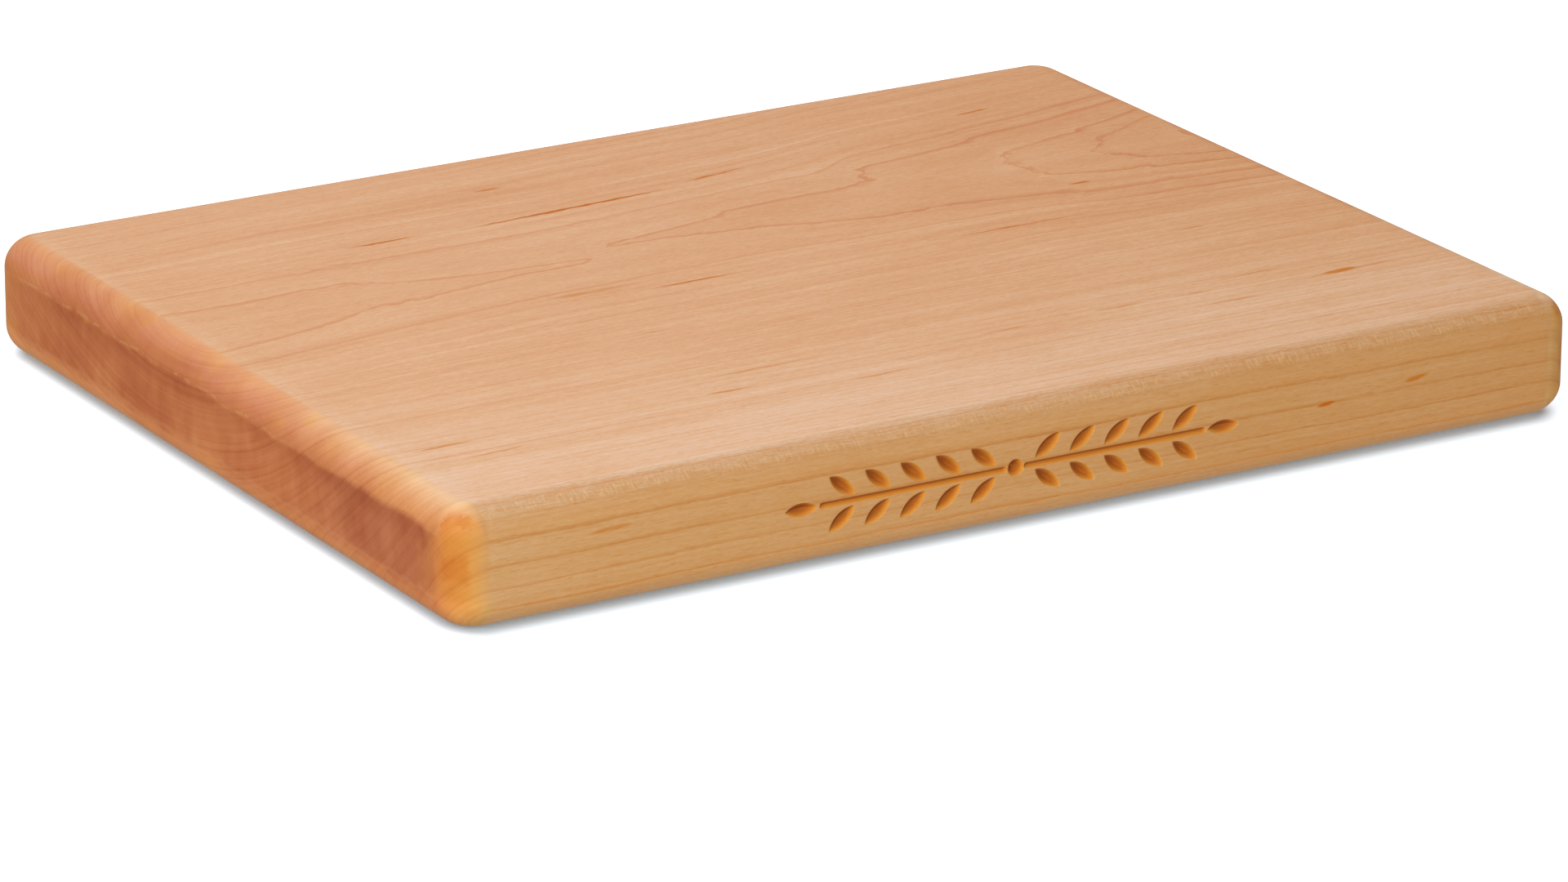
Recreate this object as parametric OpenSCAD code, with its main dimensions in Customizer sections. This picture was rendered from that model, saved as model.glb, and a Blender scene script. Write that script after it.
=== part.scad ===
// Cutting board: one plain-sawn plank of hard maple, 13 x 10 x 1 1/4 inches.
// The top and bottom edges and the upright corners are rounded all the way
// round. A band of leaves is V-carved into the front edge.
// X runs along the grain, Y across the grain and Z up. The origin is the middle
// of the underside, which lies flat on the counter. The carved edge faces -Y.

/* [Board] */
// Length along the grain
board_l = 330.2; // [220:0.1:450]
// Width across the grain
board_w = 254; // [150:0.1:350]
// Thickness
board_t = 31.75; // [26:0.05:50]

/* [Edges] */
// Radius of the roundover on the top and bottom edges
edge_r = 8; // [4:0.1:9]
// Radius of the upright corners, seen from above
corner_r = 10.5; // [10:0.1:30]

/* [Carving] */
// Leaf pairs on each side of the middle
leaf_pairs = 5; // [2:1:6]
// Distance from one leaf pair to the next
leaf_pitch = 10.2; // [10:0.1:12]
// Length of one leaf
leaf_l = 9.4; // [8.6:0.1:9.8]
// Width of one leaf at its widest
leaf_w = 3.6; // [3:0.1:3.8]
// Angle of a leaf to the stem
leaf_angle = 38; // [37:1:42]
// Width of the stem groove
stem_w = 1.8; // [1.4:0.1:2.2]
// Clear wood between the stem and the foot of a leaf
leaf_gap = 0.5; // [0.4:0.1:0.8]
// Angle between the two walls of a carved groove
groove_angle = 90; // [80:5:110]
// Middle of the carving, along X from the middle of the board
carve_x = -7; // [-15:0.5:15]

/* [Hidden] */
$fn = 96;
// depth of a groove for each millimetre in from its edge
slope = 1 / tan(groove_angle / 2);
// the cutters start this far outside the face, so that they cut cleanly
over = 0.5;
// radius of the round dimple in the middle of the band
bud_r = 2.3;
// where the stem starts, on either side of the dimple
stem_u0 = bud_r + 1;
// where the first leaf pair stands
leaf_u0 = stem_u0 + 2.4;
// the stem ends where a last leaf starts, which points along it
stem_u1 = leaf_u0 + leaf_pairs * leaf_pitch - 1;

// Quarter disc in the first quadrant
module quarter(r) {
    intersection() {
        circle(r = r);
        square([r, r]);
    }
}

// Half of the section across a rounded edge: from the axis out to half_w, with
// the two outer corners rounded to edge_r, between z = 0 and z = board_t
module half_section(half_w) {
    square([half_w - edge_r, board_t]);
    translate([0, edge_r]) square([half_w, board_t - 2 * edge_r]);
    translate([half_w - edge_r, board_t - edge_r]) quarter(edge_r);
    translate([half_w - edge_r, edge_r]) mirror([0, 1]) quarter(edge_r);
}

// The whole section, symmetrical about the axis
module section(half_w) {
    half_section(half_w);
    mirror([1, 0]) half_section(half_w);
}

// The plank before carving: a bar along each axis, crossing, with a turned
// post at each of the four corners
module blank() {
    lx = board_l - 2 * corner_r;
    ly = board_w - 2 * corner_r;
    // bar along X, as wide as the board
    rotate([90, 0, 90]) translate([0, 0, -lx / 2])
        linear_extrude(height = lx) section(board_w / 2);
    // bar along Y, as long as the board
    rotate([90, 0, 0]) translate([0, 0, -ly / 2])
        linear_extrude(height = ly) section(board_l / 2);
    // corner posts
    for (sx = [-1, 1], sy = [-1, 1])
        translate([sx * lx / 2, sy * ly / 2, 0])
            rotate_extrude() half_section(corner_r);
}

// A cone that is r wide on the face and deepens at the groove's slope. The
// face is z = 0 and the wood lies below it.
module pit(r) {
    translate([0, 0, -r * slope])
        cylinder(h = (r + over) * slope, r1 = 0, r2 = r + over);
}

// One leaf, from its foot at the origin along +X: the hollow common to two
// wide cones, which meet in a curved crease along the middle
module leaf() {
    arc_r = (leaf_l * leaf_l + leaf_w * leaf_w) / (4 * leaf_w);
    intersection() {
        translate([leaf_l / 2, arc_r - leaf_w / 2, 0]) pit(arc_r);
        translate([leaf_l / 2, leaf_w / 2 - arc_r, 0]) pit(arc_r);
    }
}

// The stem: a V groove with a pointed pit at each end
module stem() {
    h = stem_w / 2;
    translate([stem_u0, 0, 0]) rotate([90, 0, 90])
        linear_extrude(height = stem_u1 - stem_u0)
            polygon([[0, -h * slope], [h + over, over * slope], [-h - over, over * slope]]);
    for (u = [stem_u0, stem_u1]) translate([u, 0, 0]) pit(h);
}

// One side of the carved band, running towards +X from the middle
module spray() {
    stem();
    for (i = [0 : leaf_pairs - 1], side = [-1, 1])
        translate([leaf_u0 + i * leaf_pitch, side * (stem_w / 2 + leaf_gap), 0])
            rotate(side * leaf_angle) leaf();
    translate([stem_u1 + stem_w / 2 + leaf_gap, 0, 0]) leaf();
}

// The band of leaves on the front edge, with a dimple in the middle
module leaf_band() {
    translate([carve_x, -board_w / 2, board_t / 2]) rotate([90, 0, 0]) {
        spray();
        mirror([1, 0, 0]) spray();
        pit(bud_r);
    }
}

// The board: a single plank, with nothing fixed to it
module maple_plank() {
    color([0.84, 0.66, 0.47])
        difference() {
            blank();
            leaf_band();
        }
}

maple_plank();
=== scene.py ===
import math

import bpy
import numpy as np
from mathutils import Matrix, Vector, geometry, noise


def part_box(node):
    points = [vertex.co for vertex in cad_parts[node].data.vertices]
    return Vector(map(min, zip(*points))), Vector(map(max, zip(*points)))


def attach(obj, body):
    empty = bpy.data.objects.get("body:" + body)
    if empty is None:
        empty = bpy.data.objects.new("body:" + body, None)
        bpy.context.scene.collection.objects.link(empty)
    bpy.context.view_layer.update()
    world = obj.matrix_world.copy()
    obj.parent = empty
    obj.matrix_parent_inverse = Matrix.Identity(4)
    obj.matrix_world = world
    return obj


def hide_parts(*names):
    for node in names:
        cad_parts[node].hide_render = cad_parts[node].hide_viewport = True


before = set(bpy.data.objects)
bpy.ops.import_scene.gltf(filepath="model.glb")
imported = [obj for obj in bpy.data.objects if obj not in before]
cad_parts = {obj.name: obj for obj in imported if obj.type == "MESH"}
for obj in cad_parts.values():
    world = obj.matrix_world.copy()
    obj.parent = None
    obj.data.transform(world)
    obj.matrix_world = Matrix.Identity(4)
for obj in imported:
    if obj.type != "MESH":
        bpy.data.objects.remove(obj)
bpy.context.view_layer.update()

box_lo, box_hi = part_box("maple_plank")

MM = 0.001
L = (box_hi.x - box_lo.x) / MM      # along the grain
W = (box_hi.y - box_lo.y) / MM      # across the grain
T = (box_hi.z - box_lo.z) / MM      # thickness

# the same design constants as the CAD
EDGE_R, CORNER_R = 8.0, 10.5
LEAF_PAIRS, LEAF_PITCH = 5, 10.2
LEAF_L, LEAF_W, LEAF_ANGLE = 9.4, 3.6, math.radians(38)
STEM_W, LEAF_GAP, CARVE_X = 1.8, 0.5, -7.0
BUD_R = 2.3
STEM_U0 = BUD_R + 1
LEAF_U0 = STEM_U0 + 2.4
STEM_U1 = LEAF_U0 + LEAF_PAIRS * LEAF_PITCH - 1
LIP = 0.16                          # half-width of the eased lip of a groove


# ---------------------------------------------------------------- carving
def leaf_frames():
    """(foot u, foot v, direction) of every leaf, in the plane of the front edge about the middle of the band."""
    out = []
    for side in (1, -1):
        for i in range(LEAF_PAIRS):
            for up in (1, -1):
                a = up * LEAF_ANGLE
                out.append((side * (LEAF_U0 + i * LEAF_PITCH), up * (STEM_W / 2 + LEAF_GAP),
                            side * math.cos(a), math.sin(a)))
        out.append((side * (STEM_U1 + STEM_W / 2 + LEAF_GAP), 0.0, float(side), 0.0))
    return out


ARC_R = (LEAF_L ** 2 + LEAF_W ** 2) / (4 * LEAF_W)
ARC_OFF = ARC_R - LEAF_W / 2


def inside_distance(u, v):
    """How far (u, v) lies inside the nearest groove outline, negative outside it. Arrays in, array out."""
    best = np.full(u.shape, -9.0)
    for fu, fv, cu, cv in leaf_frames():
        a = (u - fu) * cu + (v - fv) * cv - LEAF_L / 2
        b = -(u - fu) * cv + (v - fv) * cu
        d1 = ARC_R - np.hypot(a, b - ARC_OFF)
        d2 = ARC_R - np.hypot(a, b + ARC_OFF)
        k = 0.07                      # softens the crease along the middle
        best = np.maximum(best, (d1 + d2 - np.sqrt((d1 - d2) ** 2 + k * k)) / 2)
    for side in (1, -1):
        s = side * u
        along = np.clip(s, STEM_U0, STEM_U1)
        best = np.maximum(best, STEM_W / 2 - np.sqrt((s - along) ** 2 + v * v + 0.05 ** 2))
    best = np.maximum(best, BUD_R - np.sqrt(u * u + v * v + 0.08 ** 2))
    return best


def groove_depth(u, v):
    d = inside_distance(u, v)
    eased = np.where(d < -LIP, 0.0, (np.maximum(d, -LIP) + LIP) ** 2 / (4 * LIP))
    return np.where(d > LIP, d, eased)


def carving_points():
    """Points that follow the grooves: rows along each outline at set distances in from it."""
    pts = []
    for fu, fv, cu, cv in leaf_frames():
        for lev in (-0.3, -0.16, 0.0, 0.16, 0.4, 0.7, 1.0, 1.3, 1.58):
            rad = ARC_R - lev
            if rad <= ARC_OFF + 0.02:
                continue
            top = math.acos(ARC_OFF / rad)
            n = max(3, int(2 * top * rad / 0.5))
            for k in range(n + 1):
                t = -top + 2 * top * k / n
                for s in (1, -1):
                    a = LEAF_L / 2 + rad * math.sin(t)
                    b = s * (rad * math.cos(t) - ARC_OFF)
                    pts.append((fu + a * cu - b * cv, fv + a * cv + b * cu))
        for k in range(19):
            a = 0.15 + (LEAF_L - 0.3) * k / 18
            pts.append((fu + a * cu, fv + a * cv))
    h = STEM_W / 2
    rows = (0.0, h / 3, 2 * h / 3, h - 0.14, h, h + 0.16, h + 0.35)
    for side in (1, -1):
        n = int((STEM_U1 - STEM_U0) / 0.6)
        for k in range(n + 1):
            u = side * (STEM_U0 + (STEM_U1 - STEM_U0) * k / n)
            for v in rows:
                pts += [(u, v), (u, -v)]
        for c, turn in ((STEM_U0, math.pi), (STEM_U1, 0.0)):
            for rad in rows[1:]:
                for k in range(-3, 4):
                    a = turn + k * math.pi / 7
                    pts.append((side * (c + rad * math.cos(a)), rad * math.sin(a)))
    for rad in (0.0, 0.25, 0.6, 1.0, 1.4, 1.8, BUD_R - 0.16, BUD_R, BUD_R + 0.16, BUD_R + 0.35):
        n = 1 if rad == 0 else max(8, int(2 * math.pi * rad / 0.42))
        for k in range(n):
            a = 2 * math.pi * k / n
            pts.append((rad * math.cos(a), rad * math.sin(a)))
    return np.array(pts)


def thinned(points, gap):
    """The points with those nearer than gap to an earlier one left out."""
    cells, kept = {}, []
    for p in points:
        c = (math.floor(p[0] / gap), math.floor(p[1] / gap))
        near = False
        for i in (-1, 0, 1):
            for j in (-1, 0, 1):
                for q in cells.get((c[0] + i, c[1] + j), ()):
                    if (p[0] - q[0]) ** 2 + (p[1] - q[1]) ** 2 < gap * gap:
                        near = True
                        break
        if not near:
            cells.setdefault(c, []).append(p)
            kept.append(p)
    return kept


def filled(loop, inner):
    """Triangles over a closed outline with the inner points used. The loop comes back first, in its own order."""
    verts = [Vector(p) for p in loop] + [Vector(p) for p in inner]
    edges = [(i, (i + 1) % len(loop)) for i in range(len(loop))]
    out = geometry.delaunay_2d_cdt(verts, edges, [], 1, 1e-7)
    new, faces, orig = out[0], out[2], out[3]
    where = {}
    for k, o in enumerate(orig):
        if o:
            where[k] = o[0]
    tris = [tuple(where[i] for i in f) for f in faces]
    return verts, tris, new


# ------------------------------------------------------------- the board's mesh
def spaced(length, step):
    return max(2, int(round(length / step)))


def build_board():
    hx, hy = L / 2 - CORNER_R, W / 2 - CORNER_R
    path = []                                    # (centre x, centre y, normal x, normal y, is front)
    n_c = 14
    corners = [(hx, -hy, -90), (hx, hy, 0), (-hx, hy, 90), (-hx, -hy, 180)]
    straights = [(2 * hy, False), (2 * hx, False), (2 * hy, False), (2 * hx, True)]
    for (cx, cy, a0), (length, front) in zip(corners, straights, strict=True):
        for k in range(n_c):
            a = math.radians(a0 + 90 * k / n_c)
            path.append((cx, cy, math.cos(a), math.sin(a), False))
        a = math.radians(a0 + 90)
        nx, ny = math.cos(a), math.sin(a)
        n = spaced(length, 1.65)
        for k in range(n):
            s = length * k / n
            path.append((cx - ny * s, cy + nx * s, nx, ny, front))
    path = np.array(path, float)
    n_p = len(path)
    arc = [math.radians(90 * k / 15) for k in range(16)]
    section = [(EDGE_R * (1 - math.sin(a)), EDGE_R * (1 - math.cos(a))) for a in arc]
    flat = [EDGE_R + (T - 2 * EDGE_R) * f for f in (0.035, 0.09, 0.2, 0.35, 0.5, 0.65, 0.8, 0.91, 0.965)]
    section += [(0.0, z) for z in flat]
    section += [(EDGE_R * (1 - math.sin(a)), T - EDGE_R * (1 - math.cos(a))) for a in reversed(arc)]
    n_s = len(section)
    k_lo, k_hi = 15, n_s - 16                    # the rows where the side is upright

    co, normal = [], []
    for inset, z in section:
        rad = CORNER_R - inset
        co.append(np.stack([path[:, 0] + rad * path[:, 2], path[:, 1] + rad * path[:, 3],
                            np.full(n_p, z)], 1))
        up = 0.0
        if z < EDGE_R:
            up = -(EDGE_R - z) / EDGE_R
        elif z > T - EDGE_R:
            up = (z - T + EDGE_R) / EDGE_R
        out = math.sqrt(max(0.0, 1 - up * up))
        normal.append(np.stack([path[:, 2] * out, path[:, 3] * out, np.full(n_p, up)], 1))
    co, normal = np.concatenate(co), np.concatenate(normal)

    faces = []
    for k in range(n_s - 1):
        for i in range(n_p):
            j = (i + 1) % n_p
            if k_lo <= k < k_hi and path[i, 4]:
                continue
            faces.append((k * n_p + i, k * n_p + j, (k + 1) * n_p + j, (k + 1) * n_p + i))

    verts, norms = [tuple(v) for v in co], [tuple(v) for v in normal]

    def add_patch(loop_ids, loop2d, inner, place, nrm, flip):
        base = len(verts)
        _, tris, _ = filled(loop2d, inner)
        n = len(loop_ids)
        verts.extend(place(p) for p in inner)
        norms.extend([nrm] * len(inner))
        for t in tris:
            ids = [loop_ids[i] if i < n else base + i - n for i in t]
            faces.append(tuple(reversed(ids)) if flip else tuple(ids))

    # top and underside
    for k, z, flip in ((n_s - 1, T, False), (0, 0.0, True)):
        ids = [k * n_p + i for i in range(n_p)]
        loop = [tuple(co[i][:2]) for i in ids]
        hx2, hy2 = L / 2 - EDGE_R, W / 2 - EDGE_R
        inner = []
        # rows that widen towards the middle, so that triangles stay near square
        for d, step in ((1.5, 1.65), (3.4, 2.1), (6.2, 3.2)):
            for s in np.linspace(-hx2 + d, hx2 - d, spaced(2 * hx2 - 2 * d, step) + 1):
                inner += [(s, -hy2 + d), (s, hy2 - d)]
            for s in np.linspace(-hy2 + d, hy2 - d, spaced(2 * hy2 - 2 * d, step) + 1)[1:-1]:
                inner += [(-hx2 + d, s), (hx2 - d, s)]
        d = 10.5
        nx, ny = spaced(2 * (hx2 - d), 4.4), spaced(2 * (hy2 - d), 4.0)
        for j in range(ny + 1):
            for i in range(nx + 1):
                off = 0.5 * (j % 2) if 0 < i < nx else 0
                inner.append((-hx2 + d + 2 * (hx2 - d) * (i + off) / nx, -hy2 + d + 2 * (hy2 - d) * j / ny))
        inner = [p for p in inner if abs(p[0]) < hx2 - 1 and abs(p[1]) < hy2 - 1]
        add_patch(ids, loop, inner, lambda p, z=z: (p[0], p[1], z), (0, 0, -1 if flip else 1), flip)

    # the front edge between its roundovers, with the carving
    front = [i for i in range(n_p) if path[i, 4]]
    run = front + [(front[-1] + 1) % n_p]        # along +X
    ids = [k_lo * n_p + i for i in run]
    ids += [k * n_p + run[-1] for k in range(k_lo + 1, k_hi + 1)]
    ids += [k_hi * n_p + i for i in reversed(run[:-1])]
    ids += [k * n_p + run[0] for k in range(k_hi - 1, k_lo, -1)]
    loop = [(co[i][0], co[i][2]) for i in ids]
    zc = T / 2
    pts = [(u + CARVE_X, v + zc) for u, v in carving_points()]
    band = STEM_U1 + LEAF_L + 2.5
    for j in range(-9, 10):
        for i in range(int(-band / 0.8), int(band / 0.8) + 1):
            pts.append((CARVE_X + (i + 0.5 * (j % 2)) * 0.8, zc + j * 0.78))
    for i in range(int(-L / 2 / 1.6), int(L / 2 / 1.6) + 1):
        for j in range(-4, 5):
            x = (i + 0.5 * (j % 2)) * 1.6
            if abs(x - CARVE_X) > band + 0.6:
                pts.append((x, zc + j * 1.62))
    zmin, zmax = EDGE_R + 0.35, T - EDGE_R - 0.35
    pts = [p for p in thinned(pts, 0.17) if zmin < p[1] < zmax and abs(p[0]) < hx - 0.6]
    pa = np.array(pts)
    depth = groove_depth(pa[:, 0] - CARVE_X, pa[:, 1] - zc)
    lookup = {p: d for p, d in zip(pts, depth, strict=True)}
    add_patch(ids, loop, pts, lambda p: (p[0], -W / 2 + lookup[p], p[1]), (0, -1, 0), False)

    # hand work: the rounded edges wander in by a few hundredths of a millimetre, never out
    v = np.array(verts, float)
    n = np.array(norms, float)
    curved = 1 - np.max(np.abs(n), axis=1) ** 6  # 0 on the flats
    amount = np.zeros(len(v))
    for i in np.nonzero(curved > 0.02)[0]:
        p = v[i]
        along = noise.noise(Vector((p[0] / 26, p[1] / 26, p[2] / 9)))
        fine = noise.noise(Vector((p[0] / 5.5 + 40, p[1] / 5.5, p[2] / 3.5)))
        amount[i] = curved[i] * (0.06 + 0.06 * along + 0.022 * fine)
    # small cross-grain ripples that the cutter left along the upper front roundover
    rip = (n[:, 1] < -0.2) & (n[:, 2] > 0.2)
    for i in np.nonzero(rip)[0]:
        p = v[i]
        a = math.atan2(-n[i, 1], n[i, 2])
        w = math.exp(-((a - 0.72) / 0.2) ** 2)
        amount[i] += w * 0.03 * (1 + noise.noise(Vector((p[0] / 1.1, 3.0, p[2] / 4))))
    v -= n * np.maximum(amount, 0)[:, None]

    mesh = bpy.data.meshes.new("maple_board")
    mesh.from_pydata((v * MM).tolist(), [], faces)
    mesh.validate()
    mesh.update()
    mesh.polygons.foreach_set("use_smooth", [True] * len(mesh.polygons))
    # an attribute that the material reads: how deep a point is cut
    at = mesh.attributes.new("cut", "FLOAT", "POINT")
    cut = np.zeros(len(v))
    is_front = np.abs(v[:, 1] + W / 2) < 2.2
    sel = np.nonzero(is_front & (n[:, 1] < -0.99) & (np.abs(v[:, 2] - zc) < 7.6))[0]
    if len(sel):
        cut[sel] = inside_distance(v[sel, 0] - CARVE_X, v[sel, 2] - zc)
        cut[sel] = np.clip(cut[sel] + 1, 0, 3)
    at.data.foreach_set("value", cut.astype(np.float32))
    ob = bpy.data.objects.new("maple_board", mesh)
    bpy.context.scene.collection.objects.link(ob)
    return ob


board = build_board()
print("board", len(board.data.vertices), "vertices", sum(len(p.vertices) - 2 for p in board.data.polygons), "triangles")


# ---------------------------------------------------------------- maple, in object space
class Net:
    """Short names for building a node tree."""

    def __init__(self, tree):
        self.tree = tree

    def put(self, socket, value):
        if isinstance(value, bpy.types.NodeSocket):
            self.tree.links.new(value, socket)
        elif isinstance(value, (tuple, list)) and socket.type == "RGBA" and len(value) == 3:
            socket.default_value = (*value, 1)
        else:
            socket.default_value = value

    def new(self, kind, **props):
        node = self.tree.nodes.new(kind)
        for k, v in props.items():
            setattr(node, k, v)
        return node

    def m(self, op, a, b=None, c=None):
        node = self.new("ShaderNodeMath", operation=op)
        for i, v in enumerate((a, b, c)):
            if v is not None:
                self.put(node.inputs[i], v)
        return node.outputs[0]

    def add(self, a, b): return self.m("ADD", a, b)
    def sub(self, a, b): return self.m("SUBTRACT", a, b)
    def mul(self, a, b): return self.m("MULTIPLY", a, b)
    def mad(self, a, b, c): return self.m("MULTIPLY_ADD", a, b, c)
    def big(self, a, b): return self.m("MAXIMUM", a, b)
    def small(self, a, b): return self.m("MINIMUM", a, b)

    def v(self, op, a, b=None):
        node = self.new("ShaderNodeVectorMath", operation=op)
        self.put(node.inputs[0], a)
        if b is not None:
            self.put(node.inputs[1], b)
        return node.outputs["Value" if op in ("LENGTH", "DOT_PRODUCT") else "Vector"]

    def xyz(self, x, y, z):
        node = self.new("ShaderNodeCombineXYZ")
        for i, v in enumerate((x, y, z)):
            self.put(node.inputs[i], v)
        return node.outputs[0]

    def parts(self, vec):
        node = self.new("ShaderNodeSeparateXYZ")
        self.put(node.inputs[0], vec)
        return node.outputs

    def step(self, x, a, b, lo=0.0, hi=1.0, kind="SMOOTHSTEP"):
        node = self.new("ShaderNodeMapRange", interpolation_type=kind, clamp=True)
        for i, v in enumerate((x, a, b, lo, hi)):
            self.put(node.inputs[i], v)
        return node.outputs[0]

    def noise(self, vec, detail=2.0, rough=0.5, scale=1.0, twist=0.0):
        node = self.new("ShaderNodeTexNoise", noise_dimensions="3D")
        self.put(node.inputs["Vector"], vec)
        node.inputs["Scale"].default_value = scale
        node.inputs["Detail"].default_value = detail
        node.inputs["Roughness"].default_value = rough
        node.inputs["Distortion"].default_value = twist
        return node.outputs[0]

    def curve(self, x, pts, x0, x1, y0, y1):
        """A smooth curve through pts (x, y); x runs over x0..x1 and y over y0..y1."""
        node = self.new("ShaderNodeFloatCurve")
        c = node.mapping.curves[0]
        while len(c.points) > 2:
            c.points.remove(c.points[1])
        s = [((px - x0) / (x1 - x0), (py - y0) / (y1 - y0)) for px, py in pts]
        c.points[0].location, c.points[1].location = s[0], s[-1]
        for p in s[1:-1]:
            c.points.new(*p)
        node.mapping.update()
        self.put(node.inputs["Value"], self.step(x, x0, x1, kind="LINEAR"))
        return self.mad(node.outputs[0], y1 - y0, y0)

    def ramp(self, x, stops, kind="LINEAR"):
        node = self.new("ShaderNodeValToRGB")
        r = node.color_ramp
        r.interpolation = kind
        r.elements[0].position, r.elements[0].color = stops[0][0], (*stops[0][1], 1)
        r.elements[1].position, r.elements[1].color = stops[-1][0], (*stops[-1][1], 1)
        for pos, col in stops[1:-1]:
            r.elements.new(pos).color = (*col, 1)
        self.put(node.inputs[0], x)
        return node.outputs[0]

    def mix(self, f, a, b, kind="MIX"):
        node = self.new("ShaderNodeMix", data_type="RGBA", blend_type=kind)
        self.put(node.inputs[0], f)
        self.put(node.inputs[6], a)
        self.put(node.inputs[7], b)
        return node.outputs[2]


# radius of each growth ring's outer edge from the pith, which lies above the work face
RINGS = [121.0, 122.8, 124.55, 126.0, 127.2, 130.0, 132.2, 133.7, 136.0, 138.3, 140.6, 142.6, 145.4, 148.0, 151.0,
         153.0, 154.9, 157.8, 160.0, 161.5, 164.0, 166.6, 168.3, 170.6, 173.8, 175.6, 179.0, 181.8, 183.6,
         187.7, 190.8, 194.0, 197.2, 200.6, 204.2, 208.3, 212.6, 216.9, 220.6, 224.0, 227.6, 231.2, 235.0]
# where the crest of the rings runs along the board, and how it weaves on the work face itself
CREST = [(-170, 24.5), (-137, 26.5), (-110, 29.5), (-80, 31.0), (-35, 32.5), (0, 35.0), (40, 36.0), (60, 38.5), (75, 40.5),
         (100, 41.0), (130, 42.0), (155, 43.6), (170, 45.0)]
WEAVE = [(-170, -0.2), (-137, -0.4), (-121, 0.6), (-111, 1.8), (-103, 1.1), (-97, -0.5), (-90, -2.3), (-78, -3.0), (-65, -3.5),
         (-52, -4.3), (-44, -4.5), (-38.6, -4.2), (-35, -1.4), (-31.5, 2.3), (-28, 3.0), (-15, 2.3), (-3, 1.7), (7, 1.4), (11, 2.3),
         (24, 1.0), (38, -0.8), (54, -2.6), (59.5, -0.6), (62.5, 2.2), (75, 0.7), (100, 0.0), (104, 0.6), (112, 0.0), (170, 0.0)]
# the ring that lies open on the work face: half the width of its outline (below 0 between its two tongues);
# beyond x = 100 younger rings open inside it
OPEN_RING = 130.0
OUTLINE = [(-170, 20.5), (-157, 18.0), (-137, 15.4), (-121, 13.6), (-111, 11.7), (-103, 10.4), (-97, 9.2), (-90, 7.6), (-78, 5.4),
           (-65, 3.4), (-52, 2.6), (-44, 2.1), (-40.2, 1.2), (-38.6, 0.0), (-35, -3.0), (-31.5, 0.0), (-28, 1.4), (-15, 3.0), (-3, 5.0),
           (7, 6.8), (11, 8.4), (24, 11.0), (38, 13.2), (54, 14.6), (59.5, 17.4), (62.5, 20.6), (75, 22.2), (88, 24.0), (98, 26.0),
           (101, 27.0), (104, 29.2), (112, 30.4), (127, 32.2), (130.5, 32.4), (134, 33.6), (145, 35.2), (155, 37.0), (170, 40.5)]
# how jagged the ring edges are along the board
JAG = [(-170, 0.05), (-126, 0.10), (-116, 0.30), (-109, 1.0), (-93, 0.9), (-86, 0.12), (-44, 0.08), (-36, 0.12), (-28, 0.55), (-22, 0.30),
       (-8, 0.10), (5, 0.5), (11, 0.6), (18, 0.12), (50, 0.15), (58, 0.8), (64, 0.7), (72, 0.12), (94, 0.2), (101, 0.65), (107, 0.45),
       (116, 0.2), (126, 0.55), (134, 0.55), (144, 0.2), (170, 0.5)]
# mineral streaks and flecks on the work face: x, y, half length, half width, slope, strength, redness
STREAKS = [(-24, 68.8, 27, 0.62, 3.6, 1.0, 1.0), (-2, 70.2, 9, 0.5, 3.6, 0.6, 1.0), (-80, 67.7, 9, 0.5, 1.5, 0.85, 1.0),
           (26, 75.5, 9, 0.5, 10, 0.7, 1.0), (-25.5, -1.0, 10, 0.45, 2, 0.75, 0.9), (73, -3.5, 20, 0.45, 0, 0.6, 0.9),
           (-46, -69.7, 13, 0.45, 1, 0.45, 0.5), (-55, -31.7, 5, 0.4, 0, 0.45, 0.5), (124, -77.7, 5, 1.15, 3, 1.0, 0.12),
           (126, -78, 15, 0.6, 3, 0.34, 0.2), (-34, 94, 4, 0.5, 2, 0.6, 0.8), (117, 90, 5, 0.5, 6, 0.7, 1.0),
           (107, 20, 3, 0.6, 0, 0.8, 1.0), (111, -28, 4, 0.5, 0, 0.5, 0.6), (23, -75, 6, 0.5, 0, 0.4, 0.5),
           (58, -74, 7, 0.5, 0, 0.4, 0.5), (80, -74.5, 6, 0.5, 0, 0.4, 0.5), (-63, -81, 6, 0.5, 0, 0.45, 0.4),
           (-143, -82, 7, 0.55, 2, 0.5, 0.3), (-134, -92, 7, 0.55, 4, 0.4, 0.3), (87, -84, 7, 0.6, 0, 0.35, 0.5),
           (-23, -89, 8, 0.5, 2, 0.35, 0.4), (104, -68, 7, 0.5, 0, 0.35, 0.5), (-53, 4, 11, 1.1, 0, 0.4, 0.1)]
# broad patches on the work face: x, y, half length, half width, darker (below 0) or paler
PATCHES = [(112, 72, 78, 30, -0.036), (20, 45, 60, 22, -0.020), (110, -4, 60, 20, -0.022), (86, -80, 62, 26, 0.034), (84, -42, 60, 20, 0.014)]
# the same as STREAKS on the front edge: x, z, half length, half height, slope, strength, redness
FRONT_FLECKS = [(86, 16.4, 2.2, 0.45, 4, 1.6, 0.5), (114, 18.7, 3.2, 0.6, 8, 0.7, 0.2), (-122, 20.8, 5, 0.6, 3, 0.7, 0.1)]


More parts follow.
